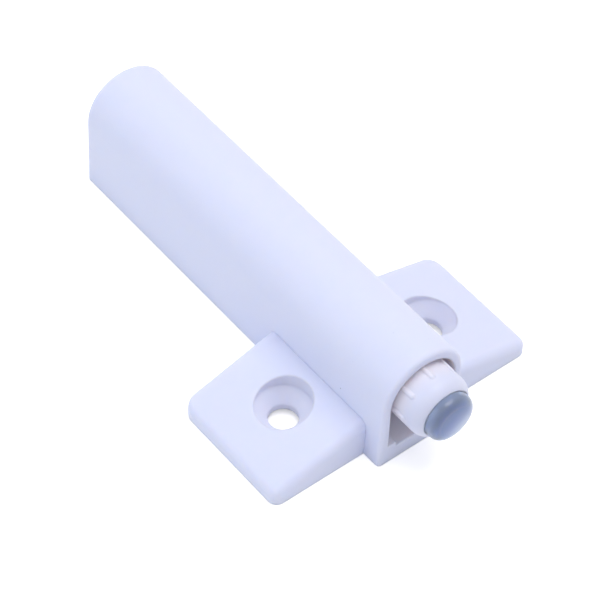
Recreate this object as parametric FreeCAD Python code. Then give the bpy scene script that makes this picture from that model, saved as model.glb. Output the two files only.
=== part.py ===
import FreeCAD, Part
import os
import math

os.makedirs("parts", exist_ok=True)

# Push to open catch: a holder that is screwed on, and a spring cartridge pushed into its tunnel.
# Millimetres. X runs along the cartridge towards the tip, Y across the wings, Z up.
# The origin lies midway between the two screw holes, on the plane of the underside.

# Holder body
body_front_x = 14.0
body_length = 70.3
body_base_half_width = 7.4
body_arch_radius = 7.1
arch_center_height = 11.6
axis_height = 11.4
body_front_round = 0.6
body_rear_round = 1.0

# Tunnel of the holder
mouth_radius = 5.8
mouth_depth = 9.0
floor_thickness = 2.75
rear_wall = 2.0
grip_radius_gap = 0.04
cradle_inner_half_width = 4.3
cradle_clearance = 0.05
cradle_top_drop = 1.2
ledge_width = 1.45
ledge_height = 0.8

# Wings of the holder
wing_half_span = 23.2
wing_half_depth = 10.8
wing_root_height = 6.7
wing_outer_height = 2.4
wing_front_corner_round = 1.5
wing_rear_corner_round = 2.5
wing_edge_round = 1.4

# Screw holes and the hollows under the wings
screw_offset = 13.25
screw_hole_radius = 2.25
head_recess_radius = 4.25
head_recess_floor = 3.85
cone_depth = 2.05
boss_radius = 5.2
boss_recess = 0.75
wing_wall = 1.6
wing_roof = 1.5
rib_wall = 1.1
hollow_root_inset = 0.8
hollow_corner = 0.5

# Barrel of the cartridge
nose_stand_out = 4.8
barrel_radius = 5.0
barrel_rear_chamfer = 0.3
crush_rib_height = 0.25
crush_rib_round = 0.5
crush_rib_end_length = 0.5
crush_rib_end_radius = 0.2
crush_rib_count = 8
crush_rib_turn = 2.5
crush_rib_front_inset = 2.55
crush_rib_rear_inset = 7.5
nose_shoulder_length = 1.9
nose_shoulder_drop = 1.0
barrel_bore_radius = 4.25
running_clearance = 0.06
key_rib_width = 1.2
key_rib_height = 0.32
window_width = 2.6
window_length = 1.8

# End cap of the cartridge
cap_flange_thickness = 0.8
cap_flange_radius = 4.9
cap_plug_length = 5.0
cap_plug_clearance = 0.04
cap_post_radius = 1.3
cap_post_length = 5.0
cap_lug_height = 0.55
cap_lug_inset = 0.1
cap_lug_lead = 0.1

# Plunger
throw = 38.0
over_push = 1.6
over_push_spare = 0.3
plunger_radius = 3.85
collar_length = 3.0
collar_clearance = 0.06
flat_depth = 2.85
track_depth = 0.85
spring_bore_radius = 2.35
spring_bore_lift = 0.8
spring_seat_wall = 4.0
socket_radius = 2.2
socket_depth = 5.6
key_slot_clearance = 0.12
flat_front_wall = 2.5

# Heart-shaped latch track on the flat of the plunger
notch_x = 1.2
lane_width = 0.95
lane_spare = 0.7
lane_edge_round = 0.12
cheek_half_width = 2.12
cheek_rear_reach = 2.1
cheek_front_reach = 0.8
tooth_depth = 0.8
tooth_y = 0.25
entry_pocket_y = 0.95
exit_pocket_y = -0.75
exit_wall_y = -1.35

# Island of the track, with the notch that holds the wire
island_length = 4.6
island_half_width = 1.05
island_rear_y = -0.35
island_entry_shoulder = 1.6
island_exit_shoulder = 1.85
island_edge_round = 0.06
entry_horn_reach = 0.75
exit_horn_reach = 0.4
notch_half_width = 0.42
notch_lip = 0.2
notch_narrowing = 0.1

# Latch wire
wire_radius = 0.3
wire_flat_gap = 0.15
wire_bend_radius = 0.6
wire_tip_clearance = 0.08
wire_notch_gap = 0.02
wire_hook_height = 1.8
wire_hook_spare = 0.2
wire_hook_inset = 2.2
wire_groove_clearance = 0.05
wire_bend_steps = 3
wire_section_corners = 10

# Spring
spring_wire_radius = 0.25
spring_bore_clearance = 0.27
spring_open_coils = 18
spring_closed_coils = 1
spring_closed_pitch = 0.56
spring_corners_per_coil = 7
spring_section_corners = 5
spring_seat_gap = 0.03

# Bumper
bumper_stand = 1.9
bumper_rim_round = 1.15
bumper_stem_clearance = 0.04
bumper_stem_gap = 0.4

# How far cutters reach past a face, how deep joined bodies sink in, and how close counts as the same place
cut_margin = 1.0
join_overlap = 0.3
same_place = 0.01

# Values that follow from the ones above
body_rear_x = body_front_x - body_length
tunnel_rear_x = body_rear_x + rear_wall
mouth_rear_x = body_front_x - mouth_depth
nose_end_x = body_front_x + nose_stand_out
barrel_rear_x = tunnel_rear_x + cap_flange_thickness
rib_radius = barrel_radius + crush_rib_height
grip_radius = rib_radius + grip_radius_gap
cap_front_x = barrel_rear_x + cap_plug_length
plunger_rear_x = cap_front_x + over_push + over_push_spare
collar_front_x = plunger_rear_x + collar_length
guide_start_x = collar_front_x + throw
guide_radius = plunger_radius + running_clearance
window_x = barrel_rear_x + 0.5 * cap_plug_length
socket_rear_x = nose_end_x - socket_depth
spring_seat_x = socket_rear_x - spring_seat_wall
spring_coil_radius = spring_bore_radius - spring_bore_clearance - spring_wire_radius
collar_radius = barrel_bore_radius - collar_clearance
spring_axis_z = axis_height + spring_bore_lift
flat_z = axis_height - flat_depth
wire_z = flat_z - wire_flat_gap - wire_radius
wire_hook_x = barrel_rear_x + wire_hook_inset
wire_groove_half_width = wire_radius + wire_groove_clearance
track_floor_z = flat_z + track_depth
track_front_x = notch_x + over_push + over_push_spare + wire_radius + tooth_depth

origin = FreeCAD.Vector(0, 0, 0)
along_x = FreeCAD.Vector(1, 0, 0)
along_y = FreeCAD.Vector(0, 1, 0)
along_z = FreeCAD.Vector(0, 0, 1)


def point(x, y, z):
    return FreeCAD.Vector(x, y, z)


def rod(start_x, end_x, radius, axis_z):
    return Part.makeCylinder(radius, end_x - start_x, point(start_x, 0, axis_z), along_x)


def upright_rod(x, y, low_z, high_z, radius):
    return Part.makeCylinder(radius, high_z - low_z, point(x, y, low_z), along_z)


def block(x_low, x_high, y_low, y_high, z_low, z_high):
    return Part.makeBox(x_high - x_low, y_high - y_low, z_high - z_low, point(x_low, y_low, z_low))


def flat_shape(points):
    closed = points + [points[0]]
    return Part.Face(Part.makePolygon(closed))


def turned_x(profile):
    # Turns a profile of (x, radius) pairs about the cartridge axis.
    points = [point(x, 0, axis_height + radius) for x, radius in profile]
    return flat_shape(points).revolve(point(0, 0, axis_height), along_x, 360)


def edges_where(shape, test):
    return [edge for edge in shape.Edges if test(edge)]


def lies_along_x(edge, low, high):
    box = edge.BoundBox
    return box.XMin > low - same_place and box.XMax < high + same_place


def is_upright(edge):
    box = edge.BoundBox
    return box.XLength < same_place and box.YLength < same_place


def on_side(side, first, second):
    # The two distances from the middle plane, as a low and a high Y on the given side.
    return sorted([side * first, side * second])


# Arch section: straight sides leaning in from the base, tangent to a round top.
def arch_section(x, base_half_width, radius, base_z, center_z):
    rise = center_z - base_z
    reach = math.hypot(base_half_width, rise)
    lean = math.acos(radius / reach)
    angle = math.atan2(-rise, base_half_width) + lean
    side_y = radius * math.cos(angle)
    side_z = center_z + radius * math.sin(angle)
    right_low = point(x, base_half_width, base_z)
    right_high = point(x, side_y, side_z)
    left_high = point(x, -side_y, side_z)
    left_low = point(x, -base_half_width, base_z)
    right = Part.makeLine(right_low, right_high)
    top = Part.Arc(right_high, point(x, 0, center_z + radius), left_high).toShape()
    left = Part.makeLine(left_high, left_low)
    base = Part.makeLine(left_low, right_low)
    return Part.Face(Part.Wire([right, top, left, base]))


def holder_body():
    section = arch_section(body_rear_x, body_base_half_width, body_arch_radius, 0, arch_center_height)
    solid = section.extrude(along_x * body_length)

    def rear_edge(edge):
        return lies_along_x(edge, body_rear_x, body_rear_x)

    def front_edge(edge):
        return lies_along_x(edge, body_front_x, body_front_x) and edge.BoundBox.ZMax > same_place

    solid = solid.makeFillet(body_rear_round, edges_where(solid, rear_edge))
    return solid.makeFillet(body_front_round, edges_where(solid, front_edge))


def holder_wings():
    root_y = body_base_half_width
    corners = [
        point(-wing_half_depth, -wing_half_span, 0),
        point(-wing_half_depth, -wing_half_span, wing_outer_height),
        point(-wing_half_depth, -root_y, wing_root_height),
        point(-wing_half_depth, root_y, wing_root_height),
        point(-wing_half_depth, wing_half_span, wing_outer_height),
        point(-wing_half_depth, wing_half_span, 0),
    ]
    solid = flat_shape(corners).extrude(along_x * (2 * wing_half_depth))

    def outer_corner(edge):
        return is_upright(edge) and abs(edge.BoundBox.YMax) > root_y + same_place

    def rear_corner(edge):
        return outer_corner(edge) and edge.BoundBox.XMax < 0

    def front_corner(edge):
        return outer_corner(edge) and edge.BoundBox.XMin > 0

    def root_line(edge):
        box = edge.BoundBox
        return box.YLength < same_place and abs(box.YMax) < root_y + same_place

    def top_edge(edge):
        return edge.BoundBox.ZMin > wing_outer_height - same_place and not root_line(edge)

    solid = solid.makeFillet(wing_rear_corner_round, edges_where(solid, rear_corner))
    solid = solid.makeFillet(wing_front_corner_round, edges_where(solid, front_corner))
    return solid.makeFillet(wing_edge_round, edges_where(solid, top_edge))


def head_recess(side):
    y = side * screw_offset
    above = wing_root_height + cut_margin
    bore = upright_rod(0, y, -cut_margin, above, screw_hole_radius)
    pocket = upright_rod(0, y, head_recess_floor, above, head_recess_radius)
    cone_base = point(0, y, head_recess_floor - cone_depth)
    cone = Part.makeCone(screw_hole_radius, head_recess_radius, cone_depth, cone_base, along_z)
    return bore.fuse([pocket, cone])


def wing_top(y):
    fall = (wing_root_height - wing_outer_height) / (wing_half_span - body_base_half_width)
    return wing_root_height - fall * (y - body_base_half_width)


def wing_hollow(side):
    # Hollow under a wing, open below, with a boss round the screw hole and three ribs.
    inner_y = body_base_half_width + hollow_root_inset
    outer_y = wing_half_span - wing_wall
    half_depth = wing_half_depth - wing_wall
    below = -2 * cut_margin
    section = [
        point(-half_depth, side * inner_y, -cut_margin),
        point(-half_depth, side * inner_y, wing_top(inner_y) - wing_roof),
        point(-half_depth, side * outer_y, wing_top(outer_y) - wing_roof),
        point(-half_depth, side * outer_y, -cut_margin),
    ]
    space = flat_shape(section).extrude(along_x * (2 * half_depth))
    space = space.makeFillet(hollow_corner, edges_where(space, is_upright))
    half = 0.5 * rib_wall
    boss = upright_rod(0, side * screw_offset, below, wing_root_height, boss_radius)
    low, high = on_side(side, screw_offset - half, screw_offset + half)
    cross_rib = block(-wing_half_depth, wing_half_depth, low, high, below, wing_root_height)
    low, high = on_side(side, screw_offset, wing_half_span)
    out_rib = block(-half, half, low, high, below, wing_root_height)
    raised = upright_rod(0, side * screw_offset, below, boss_recess, boss_radius)
    return space.cut([boss, cross_rib, out_rib]).fuse(raised)


def tunnel():
    # Wide mouth, then a closer round bore that grips the ribs of the barrel, over an open lower half.
    wide = arch_section(mouth_rear_x, mouth_radius, mouth_radius, floor_thickness, axis_height)
    wide = wide.extrude(along_x * (mouth_depth + cut_margin))
    close = arch_section(tunnel_rear_x, grip_radius, grip_radius, floor_thickness, axis_height)
    close = close.extrude(along_x * (body_front_x - tunnel_rear_x))
    return wide.fuse(close)


def ledge(side):
    # Low rail in a corner of the tunnel floor.
    low, high = on_side(side, mouth_radius - ledge_width, mouth_radius + join_overlap)
    floor_z = floor_thickness - join_overlap
    top_z = floor_thickness + ledge_height
    return block(tunnel_rear_x - join_overlap, body_front_x, low, high, floor_z, top_z)


def cradle(side):
    # Taller rail behind the mouth, hollowed to carry the barrel.
    low, high = on_side(side, cradle_inner_half_width, mouth_radius + join_overlap)
    floor_z = floor_thickness - join_overlap
    top_z = axis_height - cradle_top_drop
    rail = block(tunnel_rear_x - join_overlap, mouth_rear_x, low, high, floor_z, top_z)
    seat = rod(tunnel_rear_x - cut_margin, body_front_x, barrel_radius + cradle_clearance, axis_height)
    return rail.cut(seat)


def holder():
    solid = holder_body().fuse(holder_wings()).cut(tunnel())
    solid = solid.fuse([ledge(-1), ledge(1), cradle(-1), cradle(1)])
    solid = solid.cut([wing_hollow(-1), wing_hollow(1), head_recess(-1), head_recess(1)])
    return solid.removeSplitter()


def barrel_outline():
    return turned_x([
        (barrel_rear_x, 0),
        (barrel_rear_x, barrel_radius - barrel_rear_chamfer),
        (barrel_rear_x + barrel_rear_chamfer, barrel_radius),
        (nose_end_x, barrel_radius),
        (nose_end_x, 0),
    ])


def nose_cutter():
    # Takes the corner of the nose off along an arc that starts level with the barrel's side.
    half_turn = math.atan2(nose_shoulder_drop, nose_shoulder_length)
    arc_radius = nose_shoulder_length / math.sin(2 * half_turn)
    start_x = nose_end_x - nose_shoulder_length
    start_z = axis_height + barrel_radius
    beyond_x = nose_end_x + cut_margin
    above_z = start_z + cut_margin
    start = point(start_x, 0, start_z)
    end = point(nose_end_x, 0, start_z - nose_shoulder_drop)
    middle_x = start_x + arc_radius * math.sin(half_turn)
    middle_z = start_z - arc_radius * (1 - math.cos(half_turn))
    shoulder = Part.Arc(start, point(middle_x, 0, middle_z), end).toShape()
    low_corner = point(beyond_x, 0, end.z)
    high_corner = point(beyond_x, 0, above_z)
    rest = Part.makePolygon([end, low_corner, high_corner, point(start_x, 0, above_z), start])
    face = Part.Face(Part.Wire([shoulder] + rest.Edges))
    return face.revolve(point(0, 0, axis_height), along_x, 360)


def crush_rib(index):
    # Round-backed ridge whose front end dips into the barrel.
    rear_x = barrel_rear_x + crush_rib_rear_inset
    end_x = nose_end_x - crush_rib_front_inset - crush_rib_end_length
    core_z = axis_height + rib_radius - crush_rib_round
    ridge = rod(rear_x, end_x, crush_rib_round, core_z)
    end_base = point(end_x, 0, core_z)
    end = Part.makeCone(crush_rib_round, crush_rib_end_radius, crush_rib_end_length, end_base, along_x)
    rib = ridge.fuse(end)
    rib.rotate(point(0, 0, axis_height), along_x, crush_rib_turn + index * 360 / crush_rib_count)
    return rib


def window(side):
    # Opening in the barrel's side for a lug of the end cap.
    low, high = on_side(side, barrel_bore_radius - cut_margin, barrel_radius + cut_margin)
    half = 0.5 * window_width
    return block(window_x, window_x + window_length, low, high, axis_height - half, axis_height + half)


def barrel():
    ribs = [crush_rib(index) for index in range(crush_rib_count)]
    solid = barrel_outline().cut(nose_cutter()).fuse(ribs)
    bore = rod(barrel_rear_x - cut_margin, guide_start_x, barrel_bore_radius, axis_height)
    guide = rod(guide_start_x - cut_margin, nose_end_x + cut_margin, guide_radius, axis_height)
    solid = solid.cut([bore, guide])
    key_low = axis_height + barrel_bore_radius - key_rib_height
    key_high = axis_height + barrel_radius - join_overlap
    half = 0.5 * key_rib_width
    key = block(plunger_rear_x - over_push, guide_start_x + join_overlap, -half, half, key_low, key_high)
    return solid.fuse(key).cut([window(-1), window(1)]).removeSplitter()


def cap_lug(side):
    # Wedge that snaps into a window of the barrel.
    rear_x = window_x + cap_lug_inset
    front_x = window_x + window_length - cap_lug_inset
    half = 0.5 * window_width - cap_lug_inset
    root_y = side * (barrel_bore_radius - join_overlap)
    low_z = axis_height - half
    wedge = [
        point(rear_x, root_y, low_z),
        point(rear_x, side * (barrel_bore_radius + cap_lug_height), low_z),
        point(front_x, side * (barrel_bore_radius + cap_lug_lead), low_z),
        point(front_x, root_y, low_z),
    ]
    return flat_shape(wedge).extrude(along_z * (2 * half))


def end_cap():
    flange = rod(tunnel_rear_x, barrel_rear_x, cap_flange_radius, axis_height)
    plug = rod(barrel_rear_x, cap_front_x, barrel_bore_radius - cap_plug_clearance, axis_height)
    post = rod(cap_front_x, cap_front_x + cap_post_length, cap_post_radius, spring_axis_z)
    solid = flange.fuse([plug, post, cap_lug(-1), cap_lug(1)])
    half = wire_groove_half_width
    below_z = axis_height - barrel_radius - cut_margin
    groove = block(wire_hook_x, cap_front_x + cut_margin, -half, half, below_z, wire_z + half)
    hook_hole = upright_rod(wire_hook_x, 0, below_z, wire_z + wire_hook_height + wire_hook_spare, half)
    return solid.cut([groove, hook_hole]).removeSplitter()


def plan_prism(points, low_z, high_z):
    corners = [point(x, y, low_z) for x, y in points]
    return flat_shape(corners).extrude(along_z * (high_z - low_z))


def softened(prism, radius):
    return prism.makeFillet(radius, edges_where(prism, is_upright))


def latch_track():
    # Pocket in the flat: one lane from the rear, two ways round an island, and a front chamber.
    low = flat_z - cut_margin
    high = track_floor_z
    lane_half = 0.5 * lane_width
    lane_rear = notch_x - throw - lane_spare
    heart_rear = notch_x - island_length - lane_width
    cheek_rear = notch_x - cheek_rear_reach
    cheek_front = notch_x + cheek_front_reach
    tooth_x = track_front_x - tooth_depth
    outline = [
        (lane_rear, -lane_half),
        (heart_rear, -lane_half),
        (cheek_rear, -cheek_half_width),
        (cheek_front, -cheek_half_width),
        (tooth_x, exit_wall_y),
        (track_front_x, exit_pocket_y),
        (tooth_x, tooth_y),
        (track_front_x, entry_pocket_y),
        (tooth_x, cheek_half_width),
        (cheek_rear, cheek_half_width),
        (heart_rear, lane_half),
        (lane_rear, lane_half),
    ]
    pocket = softened(plan_prism(outline, low, high), lane_edge_round)
    floor_x = notch_x - wire_radius - wire_notch_gap
    floor_half = notch_half_width - notch_narrowing
    island = [
        (notch_x - island_length, island_rear_y),
        (notch_x - island_entry_shoulder, island_half_width),
        (notch_x + entry_horn_reach, island_half_width),
        (notch_x + notch_lip, notch_half_width),
        (floor_x, floor_half),
        (floor_x, -floor_half),
        (notch_x + notch_lip, -notch_half_width),
        (notch_x + exit_horn_reach, -island_half_width),
        (notch_x - island_exit_shoulder, -island_half_width),
    ]
    heart = softened(plan_prism(island, low - cut_margin, high + cut_margin), island_edge_round)
    return pocket.cut(heart)


def plunger():
    collar = rod(plunger_rear_x, collar_front_x, collar_radius, axis_height)
    shaft = rod(collar_front_x - join_overlap, nose_end_x, plunger_radius, axis_height)
    rear_x = plunger_rear_x - cut_margin
    reach = collar_radius + cut_margin
    flat_end_x = track_front_x + flat_front_wall
    below = block(rear_x, flat_end_x, -reach, reach, axis_height - reach, flat_z)
    spring_bore = rod(rear_x, spring_seat_x, spring_bore_radius, spring_axis_z)
    socket = rod(socket_rear_x, nose_end_x + cut_margin, socket_radius, axis_height)
    half = 0.5 * key_rib_width + key_slot_clearance
    slot_low = axis_height + barrel_bore_radius - key_rib_height - key_slot_clearance
    key_slot = block(rear_x, collar_front_x + cut_margin, -half, half, slot_low, axis_height + reach)
    solid = collar.fuse(shaft).cut([below, spring_bore, socket, key_slot])
    return solid.cut(latch_track()).removeSplitter()


def spring_path():
    # Corner points of the coil, with closed ends and an even open pitch between them.
    start_x = cap_front_x + spring_seat_gap + spring_wire_radius
    end_x = spring_seat_x - spring_seat_gap - spring_wire_radius
    closed_length = spring_closed_coils * spring_closed_pitch
    open_pitch = (end_x - start_x - 2 * closed_length) / spring_open_coils
    coils = spring_open_coils + 2 * spring_closed_coils
    points = []
    for corner in range(coils * spring_corners_per_coil + 1):
        turn = corner / spring_corners_per_coil
        first = min(turn, spring_closed_coils)
        middle = min(max(turn - spring_closed_coils, 0), spring_open_coils)
        last = max(turn - spring_closed_coils - spring_open_coils, 0)
        x = start_x + (first + last) * spring_closed_pitch + middle * open_pitch
        angle = 2 * math.pi * turn
        y = spring_coil_radius * math.cos(angle)
        z = spring_axis_z + spring_coil_radius * math.sin(angle)
        points.append(point(x, y, z))
    return points


def slid_to_plane(corner, direction, plane_point, plane_normal):
    distance = (plane_point - corner).dot(plane_normal) / direction.dot(plane_normal)
    return corner + direction * distance


def bent_wire(path, radius, section_corners, side_axis):
    # Wire with flat-sided section, mitred at every corner of its path.
    directions = [(after - before).normalize() for before, after in zip(path, path[1:])]
    side = directions[0].cross(side_axis).normalize() * radius
    up = directions[0].cross(side)
    ring = []
    for corner in range(section_corners):
        angle = 2 * math.pi * corner / section_corners
        ring.append(path[0] + side * math.cos(angle) + up * math.sin(angle))
    faces = [flat_shape(ring)]
    for index, direction in enumerate(directions):
        end = path[index + 1]
        normal = direction
        if index + 1 < len(directions):
            normal = direction + directions[index + 1]
        moved = [slid_to_plane(corner, direction, end, normal) for corner in ring]
        for corner in range(section_corners):
            following = (corner + 1) % section_corners
            faces.append(flat_shape([ring[corner], ring[following], moved[following], moved[corner]]))
        ring = moved
    faces.append(flat_shape(ring))
    shell = Part.Shell(faces)
    shell.sewShape()
    solid = Part.Solid(shell)
    if solid.Volume < 0:
        solid.reverse()
    return solid


def spring():
    return bent_wire(spring_path(), spring_wire_radius, spring_section_corners, along_x)


def latch_wire():
    # Hooked into the end cap at the rear, straight under the plunger, and turned up into the track.
    rear_x = wire_hook_x + wire_bend_radius
    front_x = notch_x - wire_bend_radius
    center_z = wire_z + wire_bend_radius
    path = [point(wire_hook_x, 0, wire_z + wire_hook_height)]
    for step in range(wire_bend_steps + 1):
        angle = 0.5 * math.pi * step / wire_bend_steps
        across = wire_bend_radius * math.cos(angle)
        path.append(point(rear_x - across, 0, center_z - wire_bend_radius * math.sin(angle)))
    for step in range(wire_bend_steps + 1):
        angle = 0.5 * math.pi * step / wire_bend_steps
        forward = wire_bend_radius * math.sin(angle)
        path.append(point(front_x + forward, 0, center_z - wire_bend_radius * math.cos(angle)))
    path.append(point(notch_x, 0, track_floor_z - wire_tip_clearance))
    return bent_wire(path, wire_radius, wire_section_corners, along_y)


def bumper():
    front_x = nose_end_x + bumper_stand
    head = rod(nose_end_x, front_x, plunger_radius, axis_height)
    rim = edges_where(head, lambda edge: lies_along_x(edge, front_x, front_x))
    head = head.makeFillet(bumper_rim_round, rim)
    stem_radius = socket_radius - bumper_stem_clearance
    stem = rod(socket_rear_x + bumper_stem_gap, nose_end_x + join_overlap, stem_radius, axis_height)
    return head.fuse(stem).removeSplitter()


makers = {
    "holder": holder,
    "barrel": barrel,
    "end_cap": end_cap,
    "plunger": plunger,
    "spring": spring,
    "latch_wire": latch_wire,
    "bumper": bumper,
}
for name, maker in makers.items():
    shape = maker()
    shape.exportStep("parts/" + name + ".step")
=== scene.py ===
import math

import bpy
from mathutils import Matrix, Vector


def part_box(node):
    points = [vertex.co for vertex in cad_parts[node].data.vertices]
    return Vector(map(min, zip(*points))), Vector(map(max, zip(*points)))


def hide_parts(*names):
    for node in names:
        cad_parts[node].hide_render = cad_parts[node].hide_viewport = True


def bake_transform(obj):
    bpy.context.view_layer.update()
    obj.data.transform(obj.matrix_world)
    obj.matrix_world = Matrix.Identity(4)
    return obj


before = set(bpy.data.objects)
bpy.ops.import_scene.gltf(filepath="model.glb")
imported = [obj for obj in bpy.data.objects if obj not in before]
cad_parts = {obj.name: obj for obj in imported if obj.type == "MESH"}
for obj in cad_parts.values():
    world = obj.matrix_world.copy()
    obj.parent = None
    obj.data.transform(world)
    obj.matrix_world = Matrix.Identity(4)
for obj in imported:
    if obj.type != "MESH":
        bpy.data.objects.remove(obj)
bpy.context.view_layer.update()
scene = bpy.context.scene
mm = 0.001
white = (1.0, 1.0, 1.0, 1.0)


# Small helpers for node trees

def addNode(tree, kind, **settings):
    node = tree.nodes.new(kind)
    for name, value in settings.items():
        setattr(node, name, value)
    return node


def feed(tree, socket, value):
    # Links an output to a socket, or writes a plain value on it
    if isinstance(value, bpy.types.NodeSocket):
        tree.links.new(value, socket)
    else:
        socket.default_value = value


def operate(tree, kind, operation, values):
    node = addNode(tree, kind, operation=operation)
    for socket, value in zip(node.inputs, values):
        feed(tree, socket, value)
    return node.outputs


def maths(tree, operation, *values):
    return operate(tree, "ShaderNodeMath", operation, values)[0]


def vectorMath(tree, operation, *values):
    return operate(tree, "ShaderNodeVectorMath", operation, values)


def lengthOf(tree, first, second):
    squares = maths(tree, "ADD", maths(tree, "MULTIPLY", first, first),
                    maths(tree, "MULTIPLY", second, second))
    return maths(tree, "SQRT", squares)


def objectPoint(tree):
    return addNode(tree, "ShaderNodeTexCoord").outputs["Object"]


def axesOf(tree, point):
    split = addNode(tree, "ShaderNodeSeparateXYZ")
    tree.links.new(point, split.inputs[0])
    return split.outputs["X"], split.outputs["Y"], split.outputs["Z"]


def noiseOf(tree, point, size, detail, roughness=0.5):
    # Noise whose blotches are about "size" metres across
    noise = addNode(tree, "ShaderNodeTexNoise")
    feed(tree, noise.inputs["Vector"], point)
    noise.inputs["Scale"].default_value = 1.0 / size
    noise.inputs["Detail"].default_value = detail
    noise.inputs["Roughness"].default_value = roughness
    return noise.outputs["Fac"]


def ranged(tree, value, low, high):
    # Stretches a 0..1 value onto low..high
    node = addNode(tree, "ShaderNodeMapRange")
    feed(tree, node.inputs["Value"], value)
    node.inputs["To Min"].default_value = low
    node.inputs["To Max"].default_value = high
    return node.outputs["Result"]


def smoothRamp(tree, value, start, end):
    # 0 up to the start value, 1 past the end value, and a soft slope between them
    node = addNode(tree, "ShaderNodeMapRange", interpolation_type="SMOOTHSTEP")
    tree.links.new(value, node.inputs["Value"])
    node.inputs["From Min"].default_value = start
    node.inputs["From Max"].default_value = end
    return node.outputs["Result"]


def rgba(color):
    return (color[0], color[1], color[2], 1.0)


def blendColor(tree, amount, first, second):
    node = addNode(tree, "ShaderNodeMix", data_type="RGBA")
    feed(tree, node.inputs[0], amount)
    feed(tree, node.inputs[6], first)
    feed(tree, node.inputs[7], second)
    return node.outputs[2]


def newMaterial(name):
    material = bpy.data.materials.new(name)
    material.use_nodes = True
    tree = material.node_tree
    return material, tree, tree.nodes["Principled BSDF"]


def soften(shader, look):
    # Light that goes a little way into the plastic and comes out beside it
    shader.inputs["Subsurface Weight"].default_value = look["softness"]
    shader.inputs["Subsurface Radius"].default_value = look["softRadius"]
    shader.inputs["Subsurface Scale"].default_value = look["softScale"]


bevelSamples = 8


def softEdges(tree, radius):
    # Moulded edges catch the light over a small round instead of a sharp line
    edge = addNode(tree, "ShaderNodeBevel")
    edge.samples = bevelSamples
    feed(tree, edge.inputs["Radius"], radius)
    return edge.outputs["Normal"]


def bumpStack(tree, shader, layers, normal=None):
    # Each layer is a height field with its depth in metres
    for height, depth in layers:
        bump = addNode(tree, "ShaderNodeBump")
        bump.inputs["Strength"].default_value = 1.0
        bump.inputs["Distance"].default_value = depth
        tree.links.new(height, bump.inputs["Height"])
        if normal is not None:
            tree.links.new(normal, bump.inputs["Normal"])
        normal = bump.outputs["Normal"]
    tree.links.new(normal, shader.inputs["Normal"])


# Moulded white plastic of the holder, with a fine eroded grain, a few specks in it, and painted
# light in the head recesses and inside the tunnel.
# A noise is the size of its blotches, its detail and, where it isn't 0.5, its roughness.
# A speck is its place, its radius and its strength.

holderLook = {
    "color": (0.703, 0.738, 0.945),
    "deepColor": (0.688, 0.723, 0.934),
    "cloud": (9 * mm, 3.0),
    "mottle": 0.10,
    "ior": 1.49,
    "shine": 0.22,
    "softness": 0.75,
    "softRadius": (1.0, 0.84, 0.74),
    "softScale": 0.85 * mm,
    "edgeRound": 0.55 * mm,
    "creaseRound": 0.04 * mm,
    "creaseOffset": 7.4 * mm,
    "creaseWidth": 0.75 * mm,
    "creaseReach": 11.6 * mm,
    "baseFrom": 0.9 * mm,
    "baseTo": 0.3 * mm,
    "grain": (0.16 * mm, 2.0, 0.6),
    "grainDepth": 0.0035 * mm,
    "wave": (3.5 * mm, 1.0),
    "waveDepth": 0.006 * mm,
    "roughness": (0.50, 0.60),
    # Painted light: paler tunnel walls, standing in for light shining through the plastic
    "paintedMouthGlowColor": (0.855, 0.845, 0.975),
    "mouthRadius": 5.83 * mm,
    "mouthFloor": 2.72 * mm,
    "mouthFrom": 14.0 * mm,
    "mouthTo": 13.6 * mm,
    "rearSkin": 0.5 * mm,
    # Painted light: a paler, pinker crown of the tunnel, over its deep shade
    "paintedCrownGlowColor": (0.98, 0.94, 0.99),
    "crownRise": 1.0 * mm,
    # Painted light: a warmer, less blue colour over the shade in the head recesses
    "paintedRecessLightColor": (0.728, 0.745, 0.888),
    "recessOffset": 13.25 * mm,
    "recessRadius": 4.27 * mm,
    "speckColor": (0.30, 0.31, 0.40),
    "speckCore": 0.45,
    "specks": [
        ((4.91 * mm, -7.17 * mm, 8.49 * mm), 0.15 * mm, 0.75),
        ((7.85 * mm, -0.74 * mm, 18.66 * mm), 0.16 * mm, 0.16),
        ((11.27 * mm, 2.70 * mm, 18.16 * mm), 0.11 * mm, 0.22),
        ((6.11 * mm, -6.30 * mm, 14.88 * mm), 0.09 * mm, 0.14),
        ((7.66 * mm, -5.77 * mm, 15.73 * mm), 0.09 * mm, 0.14),
    ],
}


def speckMask(tree, point, look):
    total = 0.0
    for center, radius, strength in look["specks"]:
        distance = vectorMath(tree, "DISTANCE", point, center)["Value"]
        spot = smoothRamp(tree, distance, radius, radius * look["speckCore"])
        total = maths(tree, "MAXIMUM", maths(tree, "MULTIPLY", spot, strength), total)
    return total


def insideMouth(tree, point, look):
    # 1 on the walls of the tunnel around the cartridge, 0 on the outside of the holder,
    # and the same for the crown of the tunnel alone; both masks carry painted light, paler walls
    # and crown inside the tunnel
    low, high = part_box("barrel")
    axisHeight = 0.5 * (low.z + high.z)
    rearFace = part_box("holder")[0].x
    along, across, upward = axesOf(tree, point)
    rise = maths(tree, "MAXIMUM", maths(tree, "SUBTRACT", upward, axisHeight), 0.0)
    within = maths(tree, "LESS_THAN", lengthOf(tree, rise, across), look["mouthRadius"])
    above = maths(tree, "GREATER_THAN", upward, look["mouthFloor"])
    before = maths(tree, "GREATER_THAN", along, rearFace + look["rearSkin"])
    depth = smoothRamp(tree, along, look["mouthFrom"], look["mouthTo"])
    lined = maths(tree, "MULTIPLY", maths(tree, "MULTIPLY", within, above),
                  maths(tree, "MULTIPLY", before, depth))
    overhead = maths(tree, "GREATER_THAN", rise, look["crownRise"])
    return lined, maths(tree, "MULTIPLY", lined, overhead)


def insideRecess(tree, point, look):
    # 1 in the two head recesses of the wings, 0 elsewhere; the mask carries painted light, a
    # warmer colour over the shade in the recesses
    along, across, _ = axesOf(tree, point)
    outward = maths(tree, "SUBTRACT", maths(tree, "ABSOLUTE", across), look["recessOffset"])
    return maths(tree, "LESS_THAN", lengthOf(tree, outward, along), look["recessRadius"])


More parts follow.
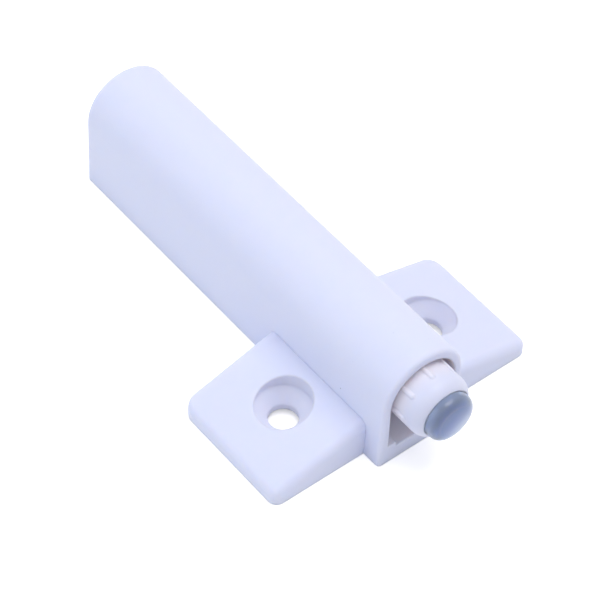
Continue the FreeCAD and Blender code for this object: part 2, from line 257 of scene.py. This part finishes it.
def alongCrease(tree, point, look):
    # 1 beside the inner corner where the wings stand on the body, 0 elsewhere
    along, across, _ = axesOf(tree, point)
    outward = maths(tree, "SUBTRACT", maths(tree, "ABSOLUTE", across), look["creaseOffset"])
    beside = maths(tree, "LESS_THAN", maths(tree, "ABSOLUTE", outward), look["creaseWidth"])
    level = maths(tree, "LESS_THAN", maths(tree, "ABSOLUTE", along), look["creaseReach"])
    return maths(tree, "MULTIPLY", beside, level)


def nearUnderside(tree, point, look):
    # 1 along the sharp lower edge, where the mould parts, 0 higher up
    upward = axesOf(tree, point)[2]
    return smoothRamp(tree, upward, look["baseFrom"], look["baseTo"])


def makeHolderPlastic(look):
    material, tree, shader = newMaterial("mouldedWhitePlastic")
    point = objectPoint(tree)
    cloud = noiseOf(tree, point, *look["cloud"])
    grain = noiseOf(tree, point, *look["grain"])
    wave = noiseOf(tree, point, *look["wave"])
    walls, crown = insideMouth(tree, point, look)
    color = blendColor(tree, cloud, rgba(look["deepColor"]), rgba(look["color"]))
    layers = [
        (ranged(tree, grain, 0.0, look["mottle"]), "deepColor"),
        # Painted light: a warmer colour over the shade in the head recesses
        (insideRecess(tree, point, look), "paintedRecessLightColor"),
        # Painted light: paler walls inside the tunnel
        (walls, "paintedMouthGlowColor"),
        # Painted light: the paler crown of the tunnel
        (crown, "paintedCrownGlowColor"),
        (speckMask(tree, point, look), "speckColor"),
    ]
    for mask, name in layers:
        color = blendColor(tree, mask, color, rgba(look[name]))
    tree.links.new(color, shader.inputs["Base Color"])
    tree.links.new(ranged(tree, grain, *look["roughness"]), shader.inputs["Roughness"])
    shader.inputs["IOR"].default_value = look["ior"]
    shader.inputs["Specular IOR Level"].default_value = look["shine"]
    soften(shader, look)
    crisp = maths(tree, "MAXIMUM", alongCrease(tree, point, look),
                  nearUnderside(tree, point, look))
    edgeRound = ranged(tree, crisp, look["edgeRound"], look["creaseRound"])
    bumps = [(wave, look["waveDepth"]), (grain, look["grainDepth"])]
    bumpStack(tree, shader, bumps, softEdges(tree, edgeRound))
    return material


# Smoother satin plastic of the barrel and of the inner parts

barrelLook = {
    "name": "satinBarrelPlastic",
    "color": (0.690, 0.718, 0.895),
    "deepColor": (0.665, 0.693, 0.865),
    "cloud": (4 * mm, 3.0),
    "ior": 1.5,
    "shine": 0.35,
    "softness": 0.6,
    "softRadius": (1.0, 0.84, 0.74),
    "softScale": 0.45 * mm,
    "edgeRound": 0.27 * mm,
    "draw": (0.10 * mm, 2.0),
    "drawStretch": 14.0,
    "drawDepth": 0.0015 * mm,
    "roughness": (0.36, 0.46),
    # Painted light deep in the holder
    "paintedGlowColor": (0.81, 0.79, 0.89),
    "sunkFrom": 17.0 * mm,
    "sunkTo": 13.8 * mm,
}
innerLook = {
    "name": "satinInnerPlastic",
    "color": (0.66, 0.69, 0.79),
    "deepColor": (0.62, 0.65, 0.75),
    "cloud": (3 * mm, 3.0),
    "ior": 1.5,
    "shine": 0.35,
    "softness": 0.3,
    "softRadius": (1.0, 0.9, 0.8),
    "softScale": 0.4 * mm,
    "edgeRound": 0.10 * mm,
    "draw": (0.09 * mm, 2.0),
    "drawStretch": 10.0,
    "drawDepth": 0.002 * mm,
    "roughness": (0.34, 0.46),
    # The painted light slot, here the same as the colour, so it paints nothing
    "paintedGlowColor": (0.66, 0.69, 0.79),
    "sunkFrom": 17.0 * mm,
    "sunkTo": 13.8 * mm,
}


def makeSatinPlastic(look):
    # Faint draw lines run along the cartridge, where the core and the mould slid out
    material, tree, shader = newMaterial(look["name"])
    point = objectPoint(tree)
    stretch = addNode(tree, "ShaderNodeMapping")
    stretch.inputs["Scale"].default_value = (1.0 / look["drawStretch"], 1.0, 1.0)
    tree.links.new(point, stretch.inputs["Vector"])
    lines = noiseOf(tree, stretch.outputs["Vector"], *look["draw"])
    cloud = noiseOf(tree, point, *look["cloud"])
    clouded = blendColor(tree, cloud, rgba(look["deepColor"]), rgba(look["color"]))
    # Painted light: paler and warmer where it sits deep in the holder, standing in for light that
    # comes through the holder's walls onto it
    sunk = smoothRamp(tree, axesOf(tree, point)[0], look["sunkFrom"], look["sunkTo"])
    color = blendColor(tree, sunk, clouded, rgba(look["paintedGlowColor"]))
    tree.links.new(color, shader.inputs["Base Color"])
    tree.links.new(ranged(tree, lines, *look["roughness"]), shader.inputs["Roughness"])
    shader.inputs["IOR"].default_value = look["ior"]
    shader.inputs["Specular IOR Level"].default_value = look["shine"]
    soften(shader, look)
    bumpStack(tree, shader, [(lines, look["drawDepth"])], softEdges(tree, look["edgeRound"]))
    return material


# Soft see-through grey-blue rubber of the tip, with a faint skin, painted shade over its middle
# and painted light on its lower far side

tipLook = {
    "color": (0.68, 0.81, 1.0),
    "deepColor": (0.63, 0.76, 1.0),
    "cloud": (1.4 * mm, 2.0),
    # Painted shade over the middle of the tip
    "paintedStemShadeColor": (0.13, 0.345, 0.94),
    "stemFrom": 3.9 * mm,
    "stemTo": 2.2 * mm,
    # Painted light on the lower far side of the tip
    "paintedUnderlightColor": (0.66, 0.73, 0.98),
    "paintedUnderlightToward": (0.25, 0.60, -0.75),
    "paintedUnderlightFrom": -1.2 * mm,
    "paintedUnderlightTo": 3.2 * mm,
    "skin": (0.30 * mm, 2.0),
    "skinDepth": 0.0008 * mm,
    "roughness": (0.40, 0.48),
    "ior": 1.43,
    "gloss": 0.75,
    "glossRoughness": 0.06,
    "clearness": (0.80, 0.15),
    "absorbColor": (0.43, 0.61, 0.97),
    "absorbDensity": 38.0,
    "softness": 0.5,
    "softRadius": (1.0, 1.0, 1.0),
    "softScale": 0.5 * mm,
}


def makeTipRubber(look):
    material, tree, shader = newMaterial("softTipRubber")
    point = objectPoint(tree)
    cloud = noiseOf(tree, point, *look["cloud"])
    skin = noiseOf(tree, point, *look["skin"])
    body = blendColor(tree, cloud, rgba(look["deepColor"]), rgba(look["color"]))
    # Painted shade: darker over the middle, standing in for the dimness seen through the rubber
    # where the stem goes down into the plunger
    low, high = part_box("bumper")
    faceMiddle = (high.x, 0.0, 0.5 * (low.z + high.z))
    offset = vectorMath(tree, "SUBTRACT", point, faceMiddle)["Vector"]
    across = vectorMath(tree, "MULTIPLY", offset, (0.0, 1.0, 1.0))["Vector"]
    away = vectorMath(tree, "LENGTH", across)["Value"]
    middle = smoothRamp(tree, away, look["stemFrom"], look["stemTo"])
    stemShadePainted = blendColor(tree, middle, body, rgba(look["paintedStemShadeColor"]))
    # Painted light: paler and milkier towards its lower far side, standing in for light from the
    # pale floor below coming through the rubber; there it is also less clear
    toward = vectorMath(tree, "DOT_PRODUCT", offset, look["paintedUnderlightToward"])["Value"]
    paintedUnderlight = smoothRamp(tree, toward, look["paintedUnderlightFrom"], look["paintedUnderlightTo"])
    color = blendColor(tree, paintedUnderlight, stemShadePainted, rgba(look["paintedUnderlightColor"]))
    tree.links.new(color, shader.inputs["Base Color"])
    tree.links.new(ranged(tree, skin, *look["roughness"]), shader.inputs["Roughness"])
    clearness = ranged(tree, paintedUnderlight, *look["clearness"])
    tree.links.new(clearness, shader.inputs["Transmission Weight"])
    shader.inputs["IOR"].default_value = look["ior"]
    shader.inputs["Coat Weight"].default_value = look["gloss"]
    shader.inputs["Coat Roughness"].default_value = look["glossRoughness"]
    soften(shader, look)
    bumpStack(tree, shader, [(skin, look["skinDepth"])])
    absorption = addNode(tree, "ShaderNodeVolumeAbsorption")
    absorption.inputs["Color"].default_value = rgba(look["absorbColor"])
    absorption.inputs["Density"].default_value = look["absorbDensity"]
    tree.links.new(absorption.outputs[0], tree.nodes["Material Output"].inputs["Volume"])
    return material


# Drawn spring wire, with faint lines along it

wireLook = {
    "color": (0.56, 0.565, 0.57),
    "darkColor": (0.40, 0.40, 0.41),
    "cloud": (1.5 * mm, 3.0),
    "line": (0.05 * mm, 3.0),
    "lineDepth": 0.002 * mm,
    "roughness": (0.24, 0.38),
}


def makeDrawnWire(look):
    material, tree, shader = newMaterial("drawnSpringWire")
    point = objectPoint(tree)
    lines = noiseOf(tree, point, *look["line"])
    cloud = noiseOf(tree, point, *look["cloud"])
    color = blendColor(tree, cloud, rgba(look["darkColor"]), rgba(look["color"]))
    tree.links.new(color, shader.inputs["Base Color"])
    tree.links.new(ranged(tree, lines, *look["roughness"]), shader.inputs["Roughness"])
    shader.inputs["Metallic"].default_value = 1.0
    bumpStack(tree, shader, [(lines, look["lineDepth"])])
    return material


print("plastics, rubber and wire")
holderPlastic = makeHolderPlastic(holderLook)
barrelPlastic = makeSatinPlastic(barrelLook)
innerPlastic = makeSatinPlastic(innerLook)
tipRubber = makeTipRubber(tipLook)
drawnWire = makeDrawnWire(wireLook)
dresses = {
    "holder": holderPlastic,
    "barrel": barrelPlastic,
    "end_cap": innerPlastic,
    "plunger": innerPlastic,
    "bumper": tipRubber,
    "spring": drawnWire,
    "latch_wire": drawnWire,
}
for nodeName, material in dresses.items():
    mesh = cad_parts[nodeName].data
    mesh.materials.clear()
    mesh.materials.append(material)


# Round-wire spring, made along a coil path, in place of the flat-sided one of the frame

springSizes = {
    "wireRadius": 0.25 * mm,
    "coilRadius": 1.83 * mm,
    "openCoils": 18.0,
    "closedCoils": 1.0,
    "closedPitch": 0.56 * mm,
}
springMesh = {"pointsPerCoil": 36, "wireSides": 12}


def makeSpringTree(sizes, material):
    tree = bpy.data.node_groups.new("coiledSpring", "GeometryNodeTree")
    face = tree.interface
    face.new_socket("Geometry", in_out="OUTPUT", socket_type="NodeSocketGeometry")
    for name in [*sizes, "length"]:
        face.new_socket(name, in_out="INPUT", socket_type="NodeSocketFloat")
    face.new_socket("base", in_out="INPUT", socket_type="NodeSocketVector")
    source = addNode(tree, "NodeGroupInput").outputs
    closed, closedPitch = source["closedCoils"], source["closedPitch"]
    coils = maths(tree, "MULTIPLY_ADD", closed, 2.0, source["openCoils"])
    coilCount = sizes["openCoils"] + 2 * sizes["closedCoils"]
    points = int(springMesh["pointsPerCoil"] * coilCount) + 1
    line = addNode(tree, "GeometryNodeMeshLine", mode="OFFSET")
    line.inputs["Count"].default_value = points
    curve = addNode(tree, "GeometryNodeMeshToCurve")
    tree.links.new(line.outputs["Mesh"], curve.inputs["Mesh"])
    index = addNode(tree, "GeometryNodeInputIndex").outputs[0]
    turn = maths(tree, "MULTIPLY", maths(tree, "DIVIDE", index, points - 1.0), coils)
    # Pitch: closed turns at both ends, even open turns between them
    first = maths(tree, "MINIMUM", turn, closed)
    past = maths(tree, "MAXIMUM", maths(tree, "SUBTRACT", turn, closed), 0.0)
    middle = maths(tree, "MINIMUM", past, source["openCoils"])
    last = maths(tree, "SUBTRACT", past, middle)
    closedLength = maths(tree, "MULTIPLY", closedPitch, maths(tree, "MULTIPLY", closed, 2.0))
    openLength = maths(tree, "SUBTRACT", source["length"], closedLength)
    openPitch = maths(tree, "DIVIDE", openLength, source["openCoils"])
    ends = maths(tree, "MULTIPLY", maths(tree, "ADD", first, last), closedPitch)
    angle = maths(tree, "MULTIPLY", turn, 2 * math.pi)
    place = addNode(tree, "ShaderNodeCombineXYZ")
    coordinates = {
        "X": maths(tree, "MULTIPLY_ADD", middle, openPitch, ends),
        "Y": maths(tree, "MULTIPLY", maths(tree, "COSINE", angle), source["coilRadius"]),
        "Z": maths(tree, "MULTIPLY", maths(tree, "SINE", angle), source["coilRadius"]),
    }
    for axis, value in coordinates.items():
        tree.links.new(value, place.inputs[axis])
    based = vectorMath(tree, "ADD", place.outputs[0], source["base"])["Vector"]
    move = addNode(tree, "GeometryNodeSetPosition")
    tree.links.new(curve.outputs["Curve"], move.inputs["Geometry"])
    tree.links.new(based, move.inputs["Position"])
    section = addNode(tree, "GeometryNodeCurvePrimitiveCircle")
    section.inputs["Resolution"].default_value = springMesh["wireSides"]
    tree.links.new(source["wireRadius"], section.inputs["Radius"])
    tube = addNode(tree, "GeometryNodeCurveToMesh")
    tree.links.new(move.outputs["Geometry"], tube.inputs["Curve"])
    tree.links.new(section.outputs["Curve"], tube.inputs["Profile Curve"])
    tube.inputs["Fill Caps"].default_value = True
    smooth = addNode(tree, "GeometryNodeSetShadeSmooth")
    tree.links.new(tube.outputs["Mesh"], smooth.inputs["Geometry"])
    finish = addNode(tree, "GeometryNodeSetMaterial")
    tree.links.new(smooth.outputs["Geometry"], finish.inputs["Geometry"])
    finish.inputs["Material"].default_value = material
    result = addNode(tree, "NodeGroupOutput")
    tree.links.new(finish.outputs["Geometry"], result.inputs["Geometry"])
    return tree


def treeMesh(name, tree, values):
    # Runs a geometry tree on an empty mesh and keeps its result as a plain mesh
    carrier = bpy.data.objects.new(name, bpy.data.meshes.new(name))
    scene.collection.objects.link(carrier)
    modifier = carrier.modifiers.new(name, "NODES")
    modifier.node_group = tree
    for item in tree.interface.items_tree:
        if item.in_out == "INPUT":
            modifier[item.identifier] = values[item.name]
    carrier.update_tag()
    evaluated = carrier.evaluated_get(bpy.context.evaluated_depsgraph_get())
    mesh = bpy.data.meshes.new_from_object(evaluated)
    carrier.modifiers.remove(modifier)
    carrier.data = mesh
    return carrier


def makeSpring(sizes, material):
    low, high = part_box("spring")
    middleZ = 0.5 * (low.z + high.z)
    values = dict(sizes)
    values["length"] = high.x - low.x - 2 * sizes["wireRadius"]
    values["base"] = (low.x + sizes["wireRadius"], 0.0, middleZ)
    spring = treeMesh("coilSpring", makeSpringTree(sizes, material), values)
    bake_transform(spring)
    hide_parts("spring")


print("spring")
makeSpring(springSizes, drawnWire)


# Pale floor and white surroundings

stageLook = {
    "floorSize": 4.0,
    "floorDrop": 0.05 * mm,
    "floorColor": (0.93, 0.93, 0.93),
    "floorLift": 0.42,
    "skyLight": 0.59,
    "skyColor": (0.98, 0.98, 1.0),
}


def viewRays(tree):
    # 1 for the rays that show the surroundings, straight or in a gloss, 0 for the light they give
    rays = addNode(tree, "ShaderNodeLightPath").outputs
    mirrored = maths(tree, "MAXIMUM", rays["Is Glossy Ray"], rays["Is Transmission Ray"])
    return maths(tree, "MAXIMUM", rays["Is Camera Ray"], mirrored)


def makeFloor(look):
    half = 0.5 * look["floorSize"]
    under = -look["floorDrop"]
    outline = ((-half, -half), (half, -half), (half, half), (-half, half))
    corners = [(x, y, under) for x, y in outline]
    mesh = bpy.data.meshes.new("paleFloor")
    mesh.from_pydata(corners, [], [(0, 1, 2, 3)])
    floor = bpy.data.objects.new("paleFloor", mesh)
    scene.collection.objects.link(floor)
    material = bpy.data.materials.new("palePaper")
    material.use_nodes = True
    tree = material.node_tree
    tree.nodes.clear()
    paper = addNode(tree, "ShaderNodeBsdfDiffuse")
    paper.inputs["Color"].default_value = rgba(look["floorColor"])
    glow = addNode(tree, "ShaderNodeEmission")
    glow.inputs["Color"].default_value = white
    lift = maths(tree, "MULTIPLY", viewRays(tree), look["floorLift"])
    tree.links.new(lift, glow.inputs["Strength"])
    both = addNode(tree, "ShaderNodeAddShader")
    tree.links.new(paper.outputs[0], both.inputs[0])
    tree.links.new(glow.outputs[0], both.inputs[1])
    output = addNode(tree, "ShaderNodeOutputMaterial")
    tree.links.new(both.outputs[0], output.inputs["Surface"])
    mesh.materials.append(material)


def makeSky(look):
    world = bpy.data.worlds.new("whiteStudio")
    world.use_nodes = True
    scene.world = world
    tree = world.node_tree
    background = tree.nodes["Background"].inputs
    rays = viewRays(tree)
    tree.links.new(ranged(tree, rays, look["skyLight"], 1.0), background["Strength"])
    tree.links.new(blendColor(tree, rays, rgba(look["skyColor"]), white), background["Color"])


# Soft studio lamps: a big one overhead and a weaker one from the rear left

lamps = {
    "topBox": {
        "place": (0.0, 0.16, 0.79),
        "size": 0.60,
        "power": 3.74,
        "color": (1.0, 0.985, 0.955),
    },
    "leftBox": {
        "place": (-0.30, -0.65, 0.35),
        "size": 0.50,
        "power": 1.09,
        "color": (0.80, 0.90, 1.0),
    },
}


def makeLamp(name, lamp):
    data = bpy.data.lights.new(name, "AREA")
    data.shape = "SQUARE"
    data.size = lamp["size"]
    data.energy = lamp["power"]
    data.color = lamp["color"]
    light = bpy.data.objects.new(name, data)
    scene.collection.objects.link(light)
    light.location = lamp["place"]
    toPart = -light.location
    light.rotation_euler = toPart.to_track_quat("-Z", "Y").to_euler()


print("floor, sky and lamps")
makeFloor(stageLook)
makeSky(stageLook)
for lampName, lamp in lamps.items():
    makeLamp(lampName, lamp)


# Camera at the photograph's angle, as the fit to its edges gave it

cameraView = {
    "place": (0.17424282, -0.1570343, 0.28714914),
    "turn": (40.95498148, -1.41490433, 51.66424462),
    "lens": 154.884,
    "sensor": 36.0,
}
cameraData = bpy.data.cameras.new("photoCamera")
cameraData.sensor_width = cameraView["sensor"]
cameraData.lens = cameraView["lens"]
camera = bpy.data.objects.new("photoCamera", cameraData)
scene.collection.objects.link(camera)
camera.location = cameraView["place"]
camera.rotation_euler = [math.radians(angle) for angle in cameraView["turn"]]
scene.camera = camera

scene.view_settings.view_transform = "Standard"
